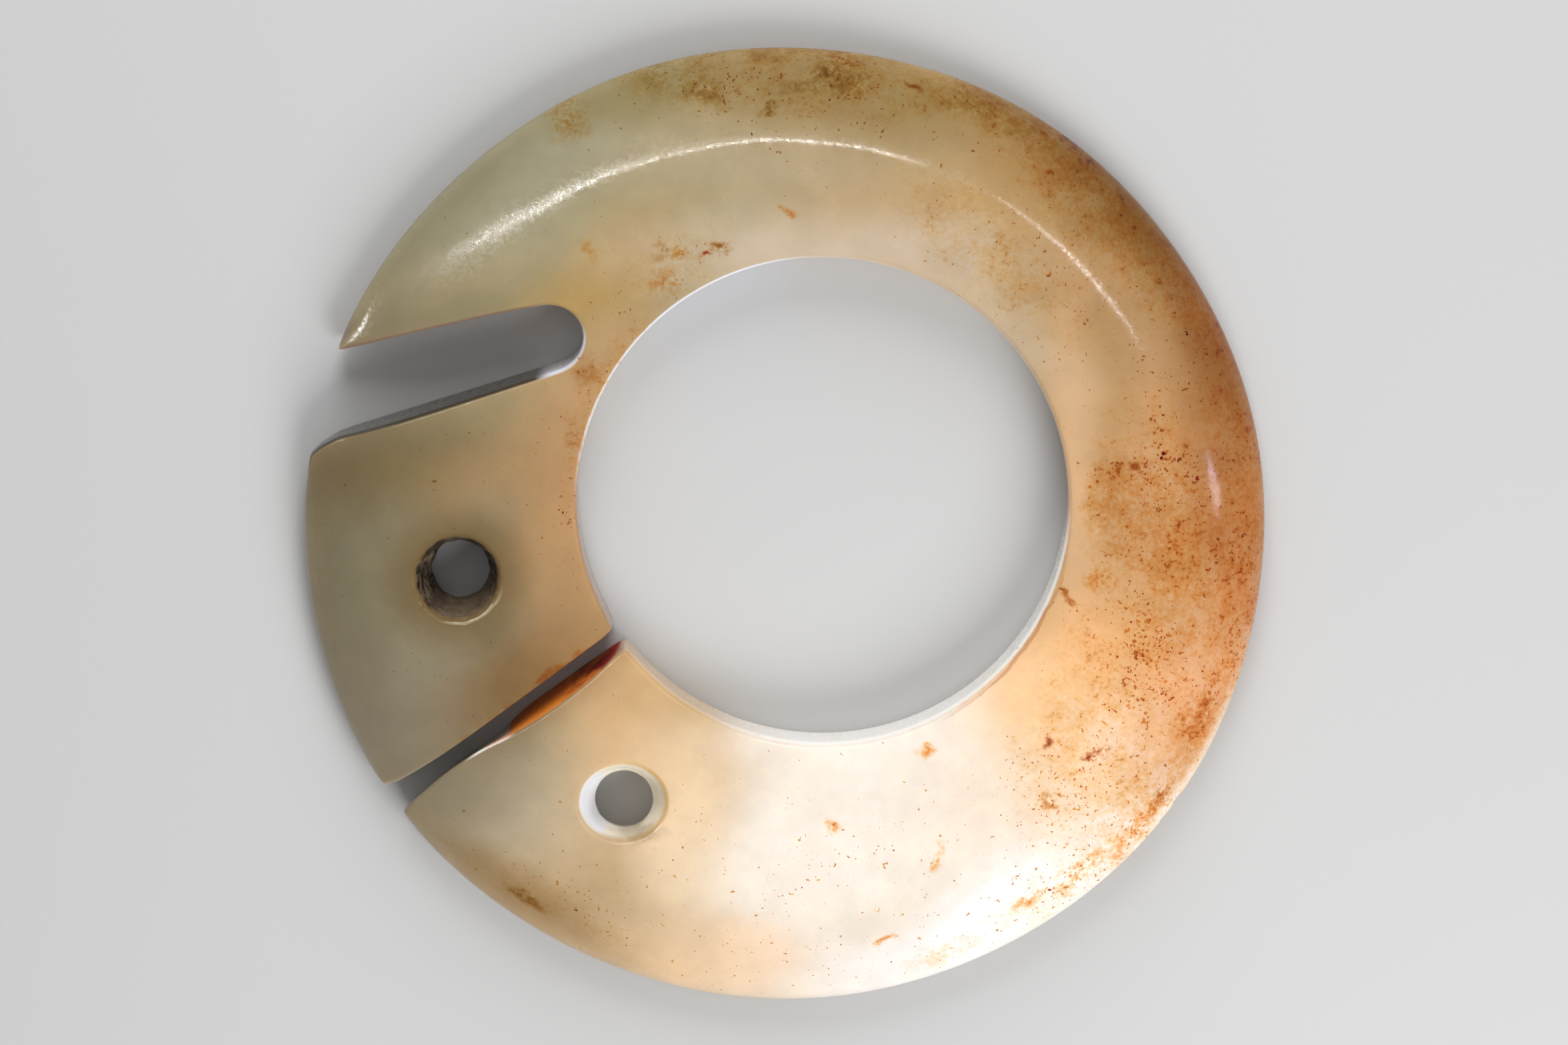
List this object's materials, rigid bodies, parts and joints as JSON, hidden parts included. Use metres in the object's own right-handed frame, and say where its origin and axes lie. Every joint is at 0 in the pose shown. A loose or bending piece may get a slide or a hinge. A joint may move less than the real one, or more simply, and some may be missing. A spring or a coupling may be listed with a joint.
{
  "type": "jade slit ring pendant",
  "caption": "Carved jade slit ring pendant shaped as a coiled creature, with an open mouth slot, a sawn slit and drilled cord holes.",
  "frame": {"origin": "centre of the outer rim, on the flat back that the pendant lies on", "axes": "+Z out of the polished front, +X to the right and +Y up in the front view, with the slit at lower left"},
  "size_m": [0.07, 0.0702, 0.0063],
  "materials": {
    "jade": "pale celadon to cream nephrite, soft polish, iron-brown burial stains"
  },
  "bodies": {
    "root": {"jade_body": "jade"}
  },
  "joints": []
}
